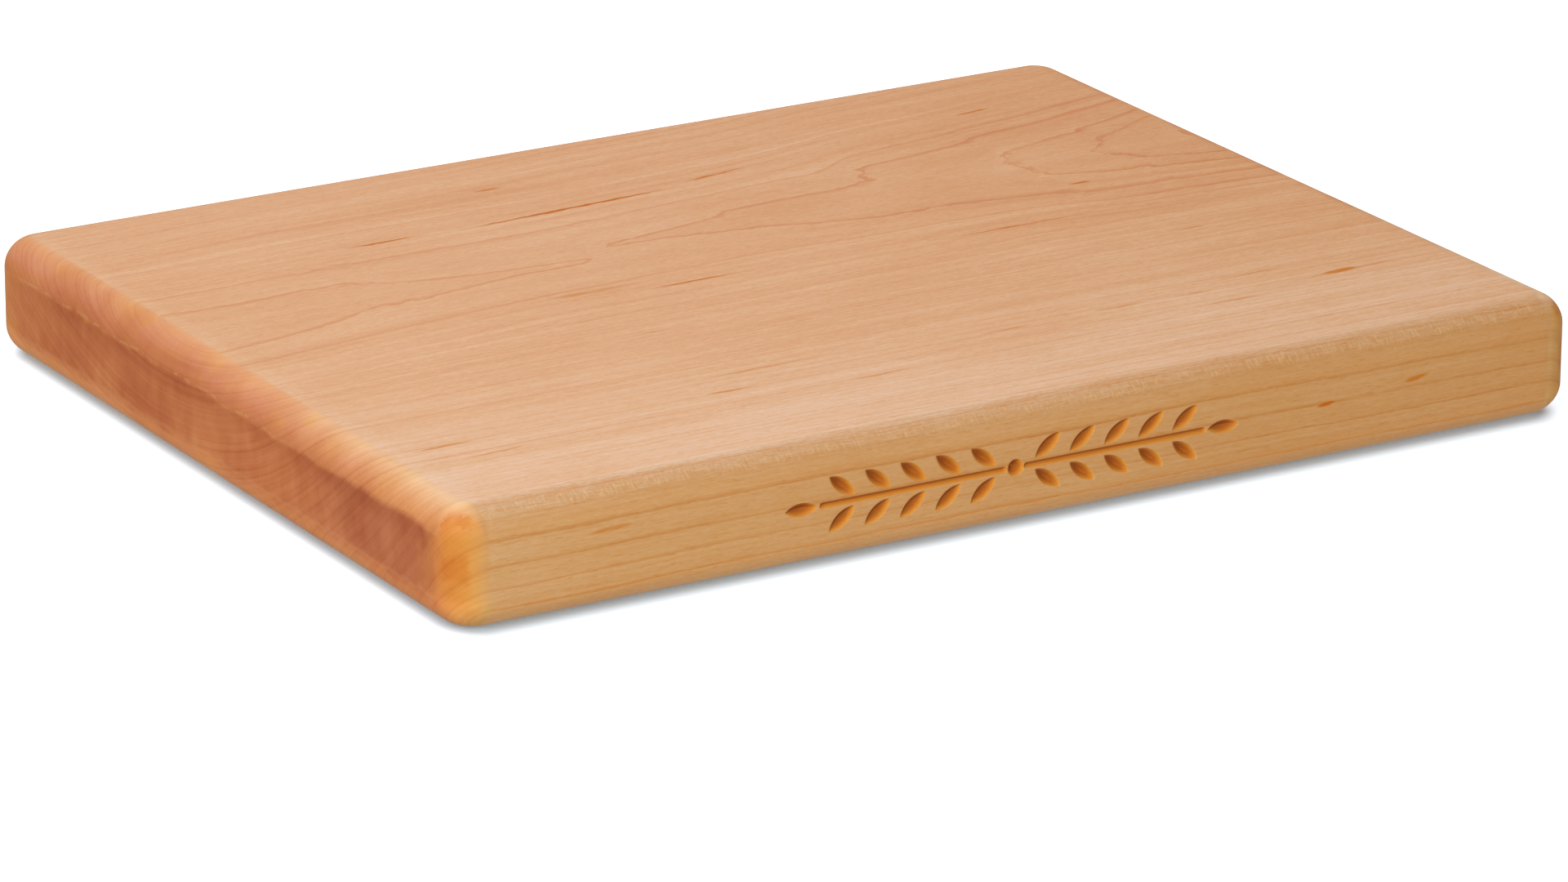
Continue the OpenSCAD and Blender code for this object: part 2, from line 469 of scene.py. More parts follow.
def build_maple():
    mat = bpy.data.materials.new("maple")
    mat.use_nodes = True
    tree = mat.node_tree
    tree.nodes.clear()
    g = Net(tree)
    coord = g.new("ShaderNodeTexCoord")
    P = g.v("MULTIPLY", coord.outputs["Object"], (1000.0, 1000.0, 1000.0))
    x, y, z = g.parts(P)
    nx, ny, nz = g.parts(coord.outputs["Normal"])
    end = g.m("ABSOLUTE", nx)
    cut = g.new("ShaderNodeAttribute", attribute_type="GEOMETRY", attribute_name="cut").outputs["Fac"]

    def at(sx, sy, sz, ox=0.0, oy=0.0, oz=0.0):
        """Object coordinates divided by a size in mm along each axis, so that noise gets that grain."""
        return g.v("ADD", g.v("MULTIPLY", P, (1 / sx, 1 / sy, 1 / sz)), (ox, oy, oz))

    # growth rings. Where the work face cuts them almost flat their outline is drawn by OUTLINE; deeper in
    # the wood and towards the edges they turn into plain arcs with a little waviness
    slow = g.sub(g.noise(at(75, 24, 24), 1.0), 0.5)
    mid = g.sub(g.noise(at(20, 2.6, 2.6, 7), 2.0), 0.5)
    fine = g.sub(g.noise(at(6.0, 0.7, 0.7, 31), 2.0), 0.5)
    jag_a = g.sub(g.noise(at(4.6, 3.4, 3.4, 44), 2.0, 0.55), 0.5)
    jag_b = g.sub(g.noise(at(7.0, 3.0, 3.0, 57), 2.0, 0.55), 0.5)
    rough_x = g.curve(x, JAG, -170, 170, 0, 1)
    jagged = g.step(g.m("ABSOLUTE", g.sub(y, 36.0)), 34.0, 18.0)
    xw = g.mad(g.mul(jag_a, jagged), g.mad(rough_x, 13.0, 1.6), x)
    yw = g.mad(g.mul(jag_b, jagged), g.mad(rough_x, 5.0, 1.3), y)
    yw = g.mad(g.sub(g.noise(at(4.2, 0.62, 0.62, 81), 2.0, 0.6), 0.5), g.mad(jagged, 0.35, 0.35), yw)
    pith = [(px, math.sqrt(OPEN_RING ** 2 - hw * hw) if hw >= 0 else OPEN_RING - 0.012 * hw) for px, hw in OUTLINE]
    towards = g.step(g.sub(35.0, y), 22.0, 110.0, 1.0, 0.0)
    inner = g.step(x, -12.0, 48.0, 8.0, 19.0)
    local = g.step(g.m("ABSOLUTE", g.sub(y, g.step(x, -12.0, 48.0, 32.0, 38.0))), inner, g.add(inner, 13.0), 1.0, 0.0)
    wide = g.step(g.m("ABSOLUTE", g.sub(y, 39.0)), 22.0, g.step(x, 50.0, 110.0, 40.0, 60.0), 1.0, 0.0)

    def trunk(along):
        """Height of the pith above the work face, and the crest's place across it, at a point along the board."""
        return (g.curve(along, pith, -170, 170, 122, 131),
                g.mad(g.curve(along, WEAVE, -170, 170, -8, 8), local, g.curve(along, CREST, -170, 170, 20, 50)))

    h, y0 = trunk(xw)
    h1, y1 = trunk(g.add(xw, 0.9))
    h2, y2 = trunk(g.sub(xw, 0.9))
    slope_h, slope_y = g.mul(g.sub(h1, h2), 1 / 1.8), g.mul(g.sub(y1, y2), 1 / 1.8)
    h_far = g.curve(x, [(-170, 128.7), (-110, 129.3), (-35, 129.9), (30, 129.4), (75, 128.3), (120, 126.6), (170, 124.2)],
                    -170, 170, 122, 131)
    h = g.mad(g.sub(h, h_far), wide, h_far)
    h = g.mad(g.sub(h, 129.0), g.mad(towards, 0.75, 0.25), 129.0)
    y0 = g.mad(g.sub(y0, 35.0), towards, 35.0)
    dy = g.sub(yw, y0)
    depth = g.sub(T, z)
    dz = g.add(h, depth)
    r0 = g.m("SQRT", g.add(g.mul(dy, dy), g.mul(dz, dz)))
    crest = g.mul(g.step(g.m("ABSOLUTE", dy), 12.0, 46.0, 1.0, 0.0), g.step(depth, 0.4, 9.0, 1.0, 0.0))
    loose = g.mad(crest, -1.0, 1.0)
    ring_r = g.mad(g.mul(fine, loose), 0.20, g.mad(g.mul(mid, loose), 0.50, g.mad(g.mul(slow, loose), 1.3, r0)))

    # how the grain meets the surface: radial part of the normal, 0 where the face is quarter-sawn
    rad_y, rad_z = g.m("DIVIDE", dy, r0), g.m("DIVIDE", g.mul(dz, -1.0), r0)
    facing = g.add(g.mul(ny, rad_y), g.mul(nz, rad_z))
    quarter = g.step(g.m("ABSOLUTE", facing), 0.06, 0.34, 1.0, 0.0)
    # how fast the ring radius changes along the surface
    climb_x = g.sub(g.mul(slope_h, g.m("DIVIDE", dz, r0)), g.mul(slope_y, rad_y))
    climb_x = g.mul(climb_x, g.m("SQRT", g.big(g.sub(1.0, g.mul(nx, nx)), 0.0)))
    spread = g.add(g.big(g.sub(1.0, g.mul(facing, facing)), 0.0), g.mul(climb_x, climb_x))
    spread = g.big(g.m("SQRT", spread), 0.003)

    n_rings = len(RINGS) - 1
    phase = g.curve(ring_r, [(r, float(i)) for i, r in enumerate(RINGS)], RINGS[0], RINGS[-1], 0.0, float(n_rings))
    ring = g.m("FLOOR", phase)
    frac = g.m("FRACT", phase)
    white = g.new("ShaderNodeTexWhiteNoise", noise_dimensions="1D")
    g.put(white.inputs["W"], g.add(ring, 0.37))
    ring_rand = white.outputs["Value"]
    near_pith = g.step(ring_r, 130.5, 135.0, 1.0, 0.0)
    # late wood is a thin dark line, equally wide on the surface however the ring meets it
    width = g.m("DIVIDE", g.mul(g.sub(1.0, frac), 2.7), spread)
    late = g.step(width, g.mad(near_pith, g.step(x, 88.0, 108.0, 1.75, 2.7), 0.72), g.mad(near_pith, 0.40, 0.15))
    edge_on = g.step(g.m("ABSOLUTE", ny), 0.85, 0.98)
    strength = g.big(near_pith, g.mad(g.m("POWER", ring_rand, 1.3), 0.70, g.mad(edge_on, 0.28, 0.14)))
    patchy = g.noise(at(48, 9, 9, 3, 11), 2.0)
    late = g.mul(g.mul(late, strength), g.step(patchy, 0.28, 0.66, 0.6, 1.0))
    late = g.mul(late, g.mad(g.mul(rough_x, jagged), 0.20, 0.95))
    soft_late = g.mul(g.mul(g.m("POWER", frac, 4.0), g.step(frac, 1.0, 0.97)), g.mad(ring_rand, 0.7, 0.3))
    theta = g.mul(g.m("ARCTAN2", dy, dz), 160.0)     # arc length round the pith, mm

    # fibre: long thin streaks, shorter dashes and the cut ends of rays
    long_f = g.sub(g.noise(at(22, 0.72, 0.72, 5), 4.0, 0.62), 0.5)
    fibre = g.sub(g.noise(at(6.5, 0.33, 0.33, 19), 3.0, 0.62), 0.5)
    dash = g.step(g.noise(at(3.4, 0.40, 0.40, 2, 5), 1.0), 0.60, 0.72)
    band = g.sub(g.noise(at(130, 7.0, 7.0, 9), 2.0), 0.5)
    cloud = g.sub(g.noise(at(46, 26, 26, 17, 3), 2.0), 0.5)
    rays = g.noise(g.xyz(g.mul(x, 1 / 0.62), g.mul(theta, 1 / 0.5), g.mul(r0, 1 / 2.6)), 2.0, 0.55)

    # fine lines that follow the rings, finer and closer than the rings themselves
    minor = g.sub(g.noise(g.xyz(g.mul(x, 1 / 150), g.mul(ring_r, 1 / 0.62), g.mul(theta, 1 / 60)), 2.0, 0.6), 0.5)
    minor2 = g.sub(g.noise(g.xyz(g.mul(x, 1 / 210), g.mad(ring_r, 1 / 2.4, 40.0), g.mul(theta, 1 / 90)), 2.0, 0.55), 0.5)
    speck = g.sub(g.noise(at(1.6, 0.42, 0.42, 8, 3), 2.0, 0.6), 0.5)

    def stain(colour, tone, powers=(0.85, 2.8, 6.2)):
        """Wood under more (tone < 1) or less of its own brown, also used for painted shade: blue goes first, red last.
        """
        return g.mix(1.0, colour, g.xyz(*(g.m("POWER", tone, p) for p in powers)), "MULTIPLY")

    # side grain: paler towards the front edge, which is painted glare standing in for the sheen of the light there, a
    # little browner to the right and on the front edge itself
    flat_y = g.step(g.m("ABSOLUTE", ny), 0.12, 0.72)
    # painted glare: the top is made paler towards its front edge
    painted_glare = g.curve(y, [(-130, 0.108), (-110, 0.098), (-80, 0.068), (-40, 0.026), (15, 0.0), (60, 0.004), (130, 0.0)],
                   -130, 130, 0, 0.12)
    painted_glare = g.mul(painted_glare, g.mad(flat_y, -0.98, 1.0))
    turned = g.m("MULTIPLY", ny, -1.0)
    tilt = g.m("SQRT", g.big(g.add(g.mul(nx, nx), g.mul(ny, ny)), 0.0))
    painted_bounce_below = g.step(nz, -0.02, -0.30)
    leaning = g.mad(g.mul(g.step(nz, 0.0, -0.02), g.step(tilt, 0.0, 0.2)), g.sub(1.0, tilt), tilt)
    # the front roundover from the top down; its pale top is painted glare that fades out towards the upright front edge
    front = g.ramp(leaning, [(0.0, (0.640, 0.372, 0.208)), (0.10, (0.590, 0.355, 0.195)), (0.34, (0.548, 0.318, 0.170)),
                            (0.595, (0.505, 0.283, 0.132)), (0.80, (0.485, 0.258, 0.100)), (0.945, (0.515, 0.264, 0.094)),
                            (1.0, (0.553, 0.285, 0.101))])
    side = g.mix(flat_y, (0.590, 0.284, 0.114), (0.540, 0.270, 0.0935))
    tone = g.mad(long_f, 0.115, g.mad(fibre, 0.22, g.mad(band, 0.10, 1.0)))
    plain = g.step(g.m("ABSOLUTE", dy), 4.0, 30.0, 0.45, 1.0)
    tone = g.mad(g.mul(minor, plain), 0.15, g.mad(g.mul(minor2, plain), 0.11, g.mad(cloud, 0.070, g.mad(speck, 0.19, tone))))
    turning = g.mul(g.step(turned, 0.0, 0.10), g.step(y, -100.0, -118.5))     # on the front roundover and the front edge
    painted_glare = g.mul(painted_glare, g.sub(1.0, turning))
    side = g.mix(turning, side, front)
    calm = g.mad(g.step(turned, 0.55, 0.98), -0.45, 1.0)
    tone = g.mad(g.sub(tone, 1.0), calm, 1.0)
    tone = g.mad(x, g.mad(turning, -0.000085, -0.000060), g.add(tone, painted_glare))
    tone = g.mad(soft_late, -0.014, g.mad(g.sub(frac, 0.5), -0.010, tone))
    tone = g.mad(late, g.mad(near_pith, 0.010, -0.110), g.mad(dash, -0.045, tone))
    # broad patches that took more or less of the finish
    for px, py, hx, hy, amount in PATCHES:
        node = g.new("ShaderNodeMapping", vector_type="TEXTURE")
        g.put(node.inputs["Vector"], P)
        node.inputs["Location"].default_value = (px, py, T)
        node.inputs["Scale"].default_value = (hx, hy, 30.0)
        tone = g.mad(g.step(g.v("LENGTH", node.outputs[0]), 1.0, 0.0), amount, tone)
    # a paler sanded strip where the face meets the left roundover
    strip = g.mul(g.step(x, -152.0, -155.5), g.step(nz, 0.9, 0.99))
    tone = g.mad(strip, 0.018, tone)
    side = stain(side, tone)
    open_line = g.mul(late, near_pith)
    side = g.mix(open_line, side, g.mix(1.0, side, (0.985, 0.842, 0.50), "MULTIPLY"))

    # mineral streaks
    wob = g.v("MULTIPLY", g.xyz(mid, g.sub(g.noise(at(5.0, 2.0, 2.0, 60), 2.0), 0.5), fine), (2.0, 1.3, 0.6))
    Pd = g.v("ADD", P, wob)
    marks, reds = 0.0, 0.0

    def fleck(centre, scale, rot, power, red):
        nonlocal marks, reds
        node = g.new("ShaderNodeMapping", vector_type="TEXTURE")
        g.put(node.inputs["Vector"], Pd)
        node.inputs["Location"].default_value = centre
        node.inputs["Rotation"].default_value = rot
        node.inputs["Scale"].default_value = scale
        m = g.mul(g.step(g.v("LENGTH", node.outputs[0]), 1.5, 0.45), power)
        marks = g.big(m, marks)
        reds = g.big(g.mul(m, red), reds)

    for fx, fy, hl, hw, slope, power, red in STREAKS:
        fleck((fx, fy, T), (hl, hw, 2.2), (0, 0, math.radians(slope)), power, red)
    for fx, fz, hl, hh, slope, power, red in FRONT_FLECKS:
        fleck((fx, -W / 2, fz), (hl, 2.2, hh), (0, math.radians(-slope), 0), power, red)
    marks = g.mul(marks, g.step(g.noise(at(7, 0.9, 0.9, 13), 2.0), 0.28, 0.55, 0.55, 1.35))
    side = g.mix(g.small(g.mul(marks, 1.15), 1.0), side, g.mix(reds, (0.52, 0.170, 0.010), (0.485, 0.110, 0.001)))

    # ray fleck on quarter-sawn places: lighter and darker cross-grain dashes; the lighter ones are partly painted
    # highlight, standing in for glints on the cutter's ripples along the front roundover
    shine = g.mul(quarter, g.step(rays, 0.53, 0.68))
    shade = g.mul(quarter, g.step(rays, 0.47, 0.34))
    side = g.mix(g.mul(shine, 0.30), side, (0.74, 0.43, 0.18))
    side = g.mix(g.mul(shade, 0.32), side, (0.44, 0.19, 0.055))

    # end grain: what it drinks of the oil turns it amber, then red brown
    feather = g.sub(g.noise(at(2.2, 0.75, 0.75, 23), 3.0, 0.6), 0.5)
    settle = g.mul(g.step(end, 0.0, 0.25), g.step(end, 1.0, 0.94))
    e = g.mad(feather, g.mul(settle, 0.17), end)
    around = g.m("DIVIDE", end, g.big(g.m("SQRT", g.add(g.mul(nx, nx), g.mul(ny, ny))), 0.02))   # 1 at the end, 0 at the front
    around = g.mad(feather, g.mul(g.mul(g.step(around, 0.0, 0.25), g.step(around, 1.0, 0.95)), 0.15), around)
    blot = g.sub(g.noise(at(30, 15, 20, 1, 8), 2.0), 0.5)
    blot2 = g.sub(g.noise(at(12, 4.6, 6.5, 4, 2), 3.0, 0.6), 0.5)
    over = g.ramp(e, [(0.0, (0.595, 0.285, 0.112)), (0.09, (0.605, 0.278, 0.100)), (0.34, (0.590, 0.245, 0.090)),
                      (0.59, (0.552, 0.220, 0.096)), (0.80, (0.515, 0.190, 0.084)), (0.945, (0.485, 0.156, 0.056)),
                      (0.985, (0.482, 0.152, 0.050)), (1.0, (0.466, 0.143, 0.044))])
    upright = g.ramp(around, [(0.0, (0.545, 0.283, 0.098)), (0.19, (0.562, 0.285, 0.088)), (0.40, (0.568, 0.264, 0.060)),
                              (0.60, (0.568, 0.238, 0.037)), (0.83, (0.555, 0.208, 0.030)), (0.955, (0.550, 0.198, 0.040)),
                              (0.99, (0.540, 0.188, 0.042)), (1.0, (0.520, 0.174, 0.039))])
    under_side = g.ramp(e, [(0.0, (0.54, 0.27, 0.095)), (0.5, (0.60, 0.23, 0.06)), (0.93, (0.60, 0.195, 0.047)),
                            (1.0, (0.575, 0.180, 0.044))])
    # near the front corner the end's roundover is painted as pale as the face and paler still near its top: painted
    # glare
    tilt_e = g.mad(feather, g.mul(g.mul(g.step(tilt, 0.0, 0.25), g.step(tilt, 1.0, 0.94)), 0.17), tilt)
    corner_glare = g.ramp(tilt_e, [(0.0, (0.640, 0.372, 0.208)), (0.09, (0.660, 0.415, 0.240)), (0.34, (0.680, 0.430, 0.238)),
                           (0.59, (0.652, 0.366, 0.180)), (0.80, (0.612, 0.290, 0.120)), (0.945, (0.590, 0.245, 0.085)),
                           (1.0, (0.560, 0.215, 0.068))])
    over = g.mix(g.curve(g.mad(blot2, 14.0, y), [(-130, 1.0), (-116, 0.98), (-104, 0.90), (-87, 0.63), (-66, 0.50), (-52, 0.42), (-34, 0.16), (-12, 0.04), (10, 0.0), (130, 0.0)],
                         -130, 130, 0, 1.05), over, g.mix(g.step(around, 0.10, 0.80), front, corner_glare))
    corner = g.mul(g.step(around, 0.993, 0.93), g.step(around, 0.10, 0.35))
    lean = g.step(g.m("ABSOLUTE", nz), g.mad(corner, 0.43, 0.02), g.mad(corner, 0.77, 0.08))
    endc = g.mix(lean, upright, over)
    # painted bounce light: the lower roundover of the end is made lighter and paler towards the back and towards the
    # front
    under_side = g.mix(g.step(y, -60.0, 110.0), under_side, g.mix(1.0, under_side, (1.13, 1.30, 1.50), "MULTIPLY"))
    under_side = g.mix(g.step(ny, -0.10, -0.60), under_side, g.mix(1.0, under_side, (1.07, 1.24, 1.06), "MULTIPLY"))
    endc = g.mix(g.step(g.mad(blot2, 3.0, z), 10.0, 6.8), endc, under_side)
    # the flat of the end has drunk the most; the sander has left its border uneven
    border = g.sub(g.noise(at(40, 14, 90, 2, 33), 3.0, 0.55), 0.5)
    ragged = g.step(y, -66.0, 6.0)
    bumps = g.mul(g.sub(g.noise(at(30, 3.6, 60, 5, 12), 2.0, 0.55), 0.5), g.mad(ragged, 3.4, 0.5))
    flat_end = g.step(g.mad(g.step(y, -58.0, -80.0), -0.8, g.add(g.mad(border, 3.0, z), bumps)), g.mad(ragged, 0.60, T - EDGE_R + 1.00), g.mad(ragged, 0.05, T - EDGE_R - 1.10))
    flat_end = g.mul(flat_end, g.step(g.mad(blot2, 4.0, z), 5.6, 8.9))
    flat_end = g.mul(flat_end, g.step(g.mad(blot2, 9.0, g.m("ABSOLUTE", y)), 119.5, 106.0))
    flat_end = g.mul(flat_end, g.step(end, 0.93, 0.985))
    flat_colour = g.mix(g.step(z, 23.0, 9.0), (0.448, 0.124, 0.029), (0.478, 0.139, 0.035))
    flat_colour = g.mix(g.step(g.mad(blot2, 20.0, y), -38.0, -80.0), flat_colour, g.mix(1.0, flat_colour, (0.875, 0.825, 0.98), "MULTIPLY"))
    endc = g.mix(flat_end, endc, flat_colour)
    plates = g.sub(g.noise(at(40, 5.0, 30, 14, 9), 1.0), 0.5)
    rayl = g.sub(g.noise(g.xyz(g.mul(x, 1 / 4), g.mul(theta, 1 / 0.42), g.mul(r0, 1 / 7.0)), 2.0), 0.5)
    pore = g.sub(g.noise(at(6, 0.45, 0.45, 71), 2.0), 0.5)
    etone = g.mad(blot, 0.50, g.mad(blot2, g.mad(flat_end, -0.05, 0.26), g.mad(g.mul(plates, flat_end), 0.09, g.mad(rayl, 0.04, g.mad(pore, 0.04, 1.0)))))
    etone = g.mad(g.sub(etone, 1.0), g.mad(flat_end, 0.50, 0.50), 1.0)
    blob = g.mad(blot2, 0.35, g.mad(feather, 0.30, tilt))
    blob = g.mul(g.mul(g.step(blob, 0.66, 0.74), g.step(blob, 0.93, 0.86)), g.mul(g.step(around, 0.38, 0.58), g.step(around, 0.86, 0.70)))
    blob = g.mul(blob, g.mul(g.step(nz, 0.0, 0.1), g.step(y, -112.0, -117.0)))
    drip = g.mul(g.step(g.m("ABSOLUTE", g.sub(g.mad(blot2, 6.0, z), 16.5)), 4.2, 1.6), g.mul(g.step(around, 0.45, 0.62), g.step(around, 0.99, 0.90)))
    drip = g.mul(drip, g.step(y, -112.0, -117.0))
    e_line = g.mul(g.step(width, 0.95, 0.15), g.mad(ring_rand, 0.6, 0.4))
    etone = g.mad(soft_late, -0.04, g.mad(minor, 0.18, g.mad(minor2, g.mad(flat_end, 0.08, 0.16), g.mad(e_line, g.mad(flat_end, -0.008, -0.054), g.add(etone, 0.008)))))
    endc = stain(endc, etone, (1.0, 2.1, 3.6))
    hue = g.ramp(g.noise(at(25, 9.0, 4.5, 61, 7), 2.0, 0.55), [(0.34, (0.99, 0.975, 1.05)), (0.50, (1.0, 1.0, 1.0)), (0.66, (1.0, 1.015, 0.83))])
    endc = g.mix(g.mul(g.step(y, -112.0, -60.0, 0.4, 1.0), g.mad(flat_end, -0.75, 1.0)), endc, g.mix(1.0, endc, hue, "MULTIPLY"))
    endc = g.mix(g.big(g.mul(blob, 0.85), g.mul(drip, 0.7)), endc, g.mix(1.0, endc, (0.90, 0.70, 0.40), "MULTIPLY"))
    # a pale line where the roundover meets the flat end, a painted highlight of the small step the cutter left there,
    # and painted shade just below it; a like painted highlight where the lower roundover meets the flat end
    lift = g.mad(border, -2.6, T - EDGE_R + 0.5)
    near = g.m("ABSOLUTE", g.sub(z, lift))
    step_highlight = g.mul(g.step(near, 0.60, 0.10), g.step(g.noise(at(10, 3.2, 50, 6), 3.0), 0.42, 0.62))
    step_highlight = g.mul(step_highlight, g.step(y, -60.0, -10.0, 0.25, 1.0))
    low_step_highlight = g.mul(g.step(g.m("ABSOLUTE", g.sub(z, g.mad(blot2, 3.0, EDGE_R))), 1.0, 0.1), 0.40)
    endc = g.mix(g.mul(g.mul(g.big(step_highlight, low_step_highlight), g.step(end, 0.93, 0.985)), 0.42), endc, (0.60, 0.28, 0.12))
    step_shade = g.mul(g.step(g.sub(lift, z), 0.3, 1.2), g.step(g.sub(lift, z), 6.0, 1.4))
    endc = stain(endc, g.mad(g.mul(step_shade, flat_end), -0.07, 1.0), (1.0, 2.0, 3.0))

    is_end = g.step(e, 0.02, 0.16)
    colour = g.mix(is_end, side, endc)
    # painted bounce light: side grain that faces down is made lighter and more golden
    colour = g.mix(g.mul(painted_bounce_below, g.sub(1.0, is_end)), colour, g.mix(1.0, colour, (1.13, 1.09, 1.03), "MULTIPLY"))

    # the carving is cut across the fibre and takes up more oil; deeper in the groove it is darker, which is painted
    # shade, and the walls that face right and down are darker again, also painted shade
    deep = g.step(cut, 0.93, 1.16)
    # deeper in the groove the colour is darker: painted shade
    groove = g.mix(g.step(cut, 1.0, 2.2), (0.55, 0.195, 0.014), (0.37, 0.090, 0.003))
    # painted shade on the groove walls that face right and down
    painted_shade_wall = g.step(g.add(g.mul(nx, 0.80), g.mul(nz, -0.62)), -0.15, 0.50)
    groove = stain(groove, g.mad(painted_shade_wall, -0.36, g.mad(fibre, 0.25, g.mad(long_f, 0.20, 1.10))), (1.0, 1.8, 2.6))
    colour = g.mix(g.mul(deep, 0.96), colour, groove)

    # finish
    rough = g.mad(long_f, 0.16, g.mad(fibre, 0.10, g.mad(late, -0.05, 0.50)))
    rough = g.mad(is_end, 0.06, g.mad(marks, 0.30, g.mad(deep, 0.25, rough)))
    height = g.mad(long_f, 0.45, g.mad(fibre, 0.60, g.mad(dash, -0.35, g.mul(late, 0.25))))
    height = g.mad(g.mul(shine, quarter), 0.7, height)
    height = g.mul(g.mad(is_end, -0.7, 1.0), height)
    height = g.mad(is_end, g.mad(rayl, 0.25, g.mul(pore, 0.4)), height)
    bump = g.new("ShaderNodeBump")
    bump.inputs["Strength"].default_value = 0.5
    bump.inputs["Distance"].default_value = 0.00005
    g.put(bump.inputs["Height"], height)

    bsdf = g.new("ShaderNodeBsdfPrincipled")
    out = g.new("ShaderNodeOutputMaterial")
    g.put(bsdf.inputs["Base Color"], colour)
    g.put(bsdf.inputs["Roughness"], rough)
    bsdf.inputs["Specular IOR Level"].default_value = 0.30
    g.put(bsdf.inputs["Normal"], bump.outputs[0])
    tree.links.new(bsdf.outputs[0], out.inputs[0])
    return mat


board.data.materials.append(build_maple())
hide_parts("maple_plank")
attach(board, "root")


# ---------------------------------------------------------------- stage, light, camera
def make_stage():
    mesh = bpy.data.meshes.new("floor")
    s = 6.0
    mesh.from_pydata([(-s, -s, 0), (s, -s, 0), (s, s, 0), (-s, s, 0)], [], [(0, 1, 2, 3)])
    ob = bpy.data.objects.new("floor", mesh)
    bpy.context.scene.collection.objects.link(ob)
    ob.location.z = box_lo.z - 0.0002
    m = bpy.data.materials.new("floor")
    m.use_nodes = True
    b = m.node_tree.nodes["Principled BSDF"]
    b.inputs["Roughness"].default_value = 0.9
    b.inputs["Specular IOR Level"].default_value = 0.1
    # the floor glows, except in a band round the board's footprint where the glow fades out: a painted contact shadow;
    # its own light is left to the lower half of the world
    n, k = m.node_tree.nodes, m.node_tree.links
    coord = n.new("ShaderNodeTexCoord")
    flat = n.new("ShaderNodeVectorMath")
    flat.operation = "ABSOLUTE"
    k.new(coord.outputs["Object"], flat.inputs[0])
    inset = n.new("ShaderNodeVectorMath")
    inset.operation = "SUBTRACT"
    k.new(flat.outputs[0], inset.inputs[0])
    inset.inputs[1].default_value = ((L / 2 - 11.63) * MM, (W / 2 - 14) * MM, 0)
    narrow = n.new("ShaderNodeVectorMath")
    narrow.operation = "MULTIPLY"
    k.new(inset.outputs[0], narrow.inputs[0])
    narrow.inputs[1].default_value = (1 / 0.68, 1, 1)
    outside = n.new("ShaderNodeVectorMath")
    outside.operation = "MAXIMUM"
    k.new(narrow.outputs[0], outside.inputs[0])
    away = n.new("ShaderNodeVectorMath")
    away.operation = "LENGTH"
    k.new(outside.outputs[0], away.inputs[0])
    # painted contact shadow: no glow close to the board, full glow farther off
    glow_with_painted_shadow = n.new("ShaderNodeMapRange")
    glow_with_painted_shadow.interpolation_type = "SMOOTHSTEP"
    k.new(away.outputs["Value"], glow_with_painted_shadow.inputs["Value"])
    for i, v in zip((1, 2, 3, 4), (9.7 * MM, 17.6 * MM, 0.0, 0.60)):
        glow_with_painted_shadow.inputs[i].default_value = v
    # close to the board a little cool light makes up for the warm light that the wood throws on the floor
    cool = n.new("ShaderNodeMapRange")
    cool.interpolation_type = "SMOOTHSTEP"
    k.new(away.outputs["Value"], cool.inputs["Value"])
    for i, v in zip((1, 2, 3, 4), (7.6 * MM, 11.5 * MM, 0.115, 0.0)):
        cool.inputs[i].default_value = v
    both = n.new("ShaderNodeMath")
    both.operation = "ADD"
    k.new(glow_with_painted_shadow.outputs[0], both.inputs[0])
    k.new(cool.outputs[0], both.inputs[1])
    # cool beside the board and neutral farther off
    near = n.new("ShaderNodeMapRange")
    near.interpolation_type = "SMOOTHSTEP"
    k.new(away.outputs["Value"], near.inputs["Value"])
    for i, v in zip((1, 2, 3, 4), (25.0 * MM, 120.0 * MM, 0.0, 1.0)):
        near.inputs[i].default_value = v
    base = n.new("ShaderNodeMix")
    base.data_type = "RGBA"
    k.new(near.outputs[0], base.inputs[0])
    base.inputs[6].default_value = (0.60, 0.735, 0.86, 1)
    base.inputs[7].default_value = (0.80, 0.80, 0.80, 1)
    k.new(base.outputs[2], b.inputs["Base Color"])
    tint = n.new("ShaderNodeMix")
    tint.data_type = "RGBA"
    share = n.new("ShaderNodeMath")
    share.operation = "DIVIDE"
    k.new(cool.outputs[0], share.inputs[0])
    k.new(both.outputs[0], share.inputs[1])
    k.new(share.outputs[0], tint.inputs[0])
    tint.inputs[6].default_value = (1, 1, 1, 1)
    tint.inputs[7].default_value = (0.30, 0.72, 1.0, 1)
    k.new(tint.outputs[2], b.inputs["Emission Color"])
    k.new(both.outputs[0], b.inputs["Emission Strength"])
    ob.visible_diffuse = False
    ob.visible_glossy = False
    mesh.materials.append(m)
    return ob


def area(name, loc, target, size, power, color=(1, 1, 1)):
    d = bpy.data.lights.new(name, "AREA")
    d.shape = "RECTANGLE"
    d.size, d.size_y = size
    d.energy = power
    d.color = color
    ob = bpy.data.objects.new(name, d)
    bpy.context.scene.collection.objects.link(ob)
    ob.location = loc
    ob.rotation_mode = "QUATERNION"
    ob.rotation_quaternion = (Vector(target) - Vector(loc)).to_track_quat("-Z", "Y")
    ob.visible_camera = False
    return ob


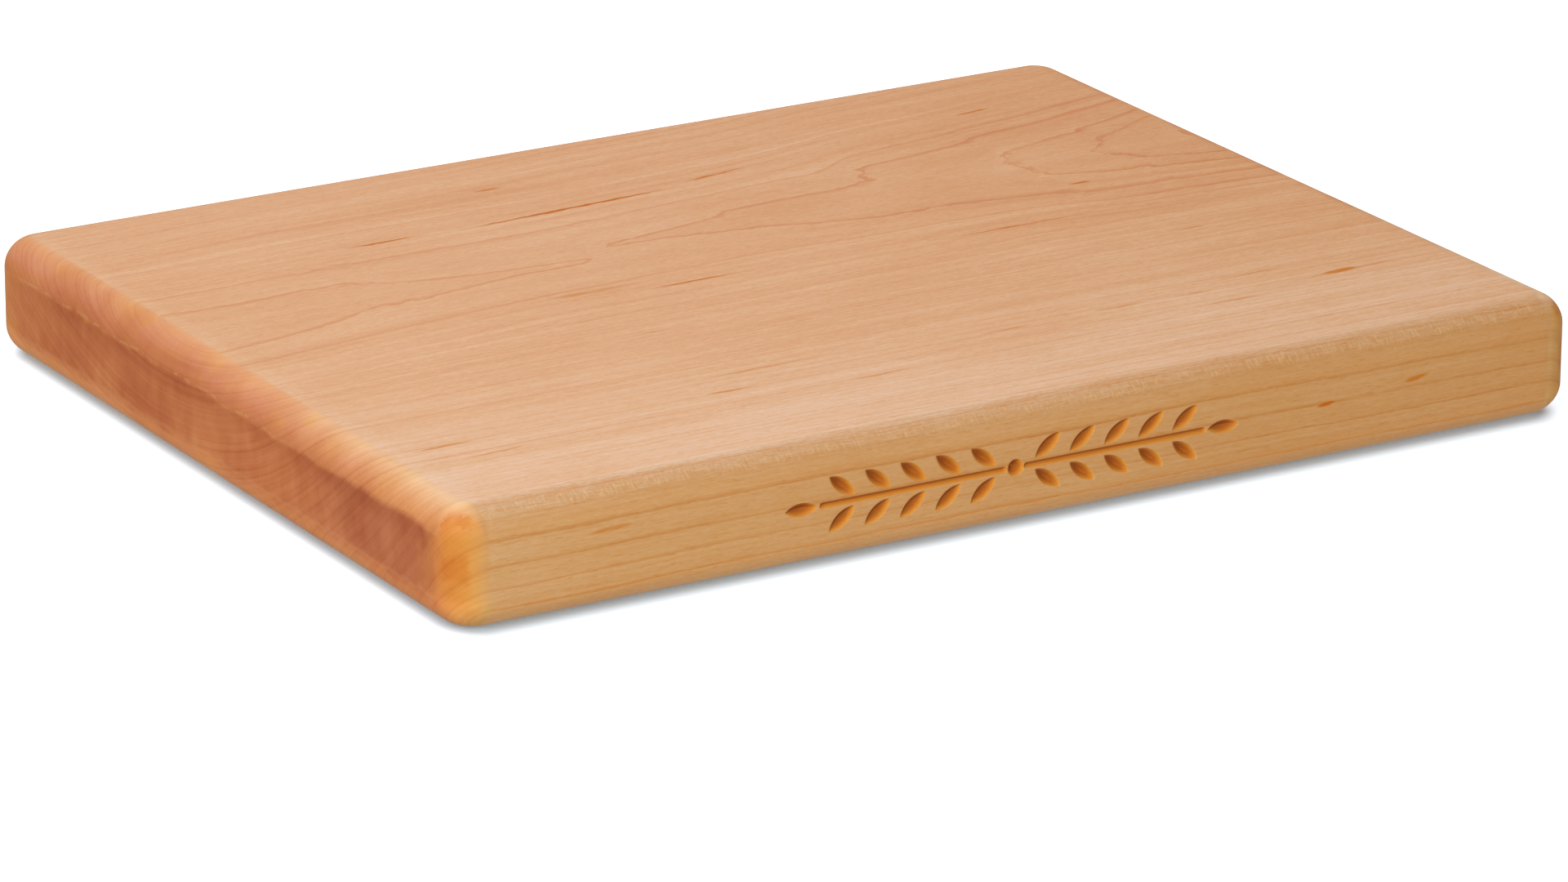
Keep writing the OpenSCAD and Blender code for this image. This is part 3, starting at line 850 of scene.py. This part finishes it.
LOW, HIGH = (0.56, 0.56, 0.56), (0.50, 0.50, 0.50)
LIGHTS = [
    # name, place, target, size, power, colour
    ("key", (-1.15, -0.75, 0.72), (0, 0, 0.02), (0.9, 0.7), 13.5, (1.0, 0.99, 0.97)),
    ("fill", (-0.70, -2.00, 0.50), (0, 0, 0.02), (1.4, 1.0), 13, (1.0, 0.995, 0.985)),
    ("rim", (0.45, 1.35, 0.85), (0, 0, 0.02), (0.9, 0.6), 4.0, (1.0, 1.0, 1.0)),
    ("top", (-0.25, 0.55, 2.0), (0, 0, 0.02), (1.4, 1.2), 12, (1.0, 0.99, 0.98)),
]
make_stage()
world = bpy.data.worlds.new("studio")
bpy.context.scene.world = world
world.use_nodes = True
wt = world.node_tree
bg = wt.nodes["Background"]
sky = wt.nodes.new("ShaderNodeValToRGB")
sky.color_ramp.elements[0].position, sky.color_ramp.elements[0].color = 0.44, (*LOW, 1)
sky.color_ramp.elements[1].position, sky.color_ramp.elements[1].color = 0.56, (*HIGH, 1)
wc = wt.nodes.new("ShaderNodeTexCoord")
ws = wt.nodes.new("ShaderNodeSeparateXYZ")
wm = wt.nodes.new("ShaderNodeMapRange")
wm.inputs["From Min"].default_value, wm.inputs["From Max"].default_value = -1.0, 1.0
wt.links.new(wc.outputs["Generated"], ws.inputs[0])
wt.links.new(ws.outputs["Z"], wm.inputs["Value"])
wt.links.new(wm.outputs[0], sky.inputs[0])
wt.links.new(sky.outputs[0], bg.inputs["Color"])
bg.inputs["Strength"].default_value = 1.0
for light in LIGHTS:
    area(*light)

# The camera stands at the azimuth and elevation from which the board is seen, far off, with a long lens.
AZ, EL, ROLL = (math.radians(a) for a in (-31.054, 19.331, 0.324))
LENGTH = L * MM
DIST, SHIFT_X, SHIFT_Y = 6.0974 * LENGTH, -0.00628 * LENGTH, 0.09384 * LENGTH
back = Vector((math.sin(AZ) * math.cos(EL), -math.cos(AZ) * math.cos(EL), math.sin(EL)))
right = Vector((0, 0, 1)).cross(back).normalized()
up = back.cross(right)
r2 = math.cos(ROLL) * right + math.sin(ROLL) * up
u2 = -math.sin(ROLL) * right + math.cos(ROLL) * up
centre = Vector((0, 0, T * MM / 2))
cam = bpy.data.cameras.new("camera")
cam.sensor_width = 36.0
cam.lens = 9450.2 / 1920 * 36.0
cam.clip_start, cam.clip_end = 0.1, 50
cam_ob = bpy.data.objects.new("camera", cam)
bpy.context.scene.collection.objects.link(cam_ob)
place = Matrix((r2, u2, back)).transposed().to_4x4()
place.translation = centre + back * DIST - r2 * SHIFT_X - u2 * SHIFT_Y
cam_ob.matrix_world = place
bpy.context.scene.camera = cam_ob

view = bpy.context.scene.view_settings
view.view_transform = "Standard"
view.look = "None"
view.exposure = 0.0
view.gamma = 1.0
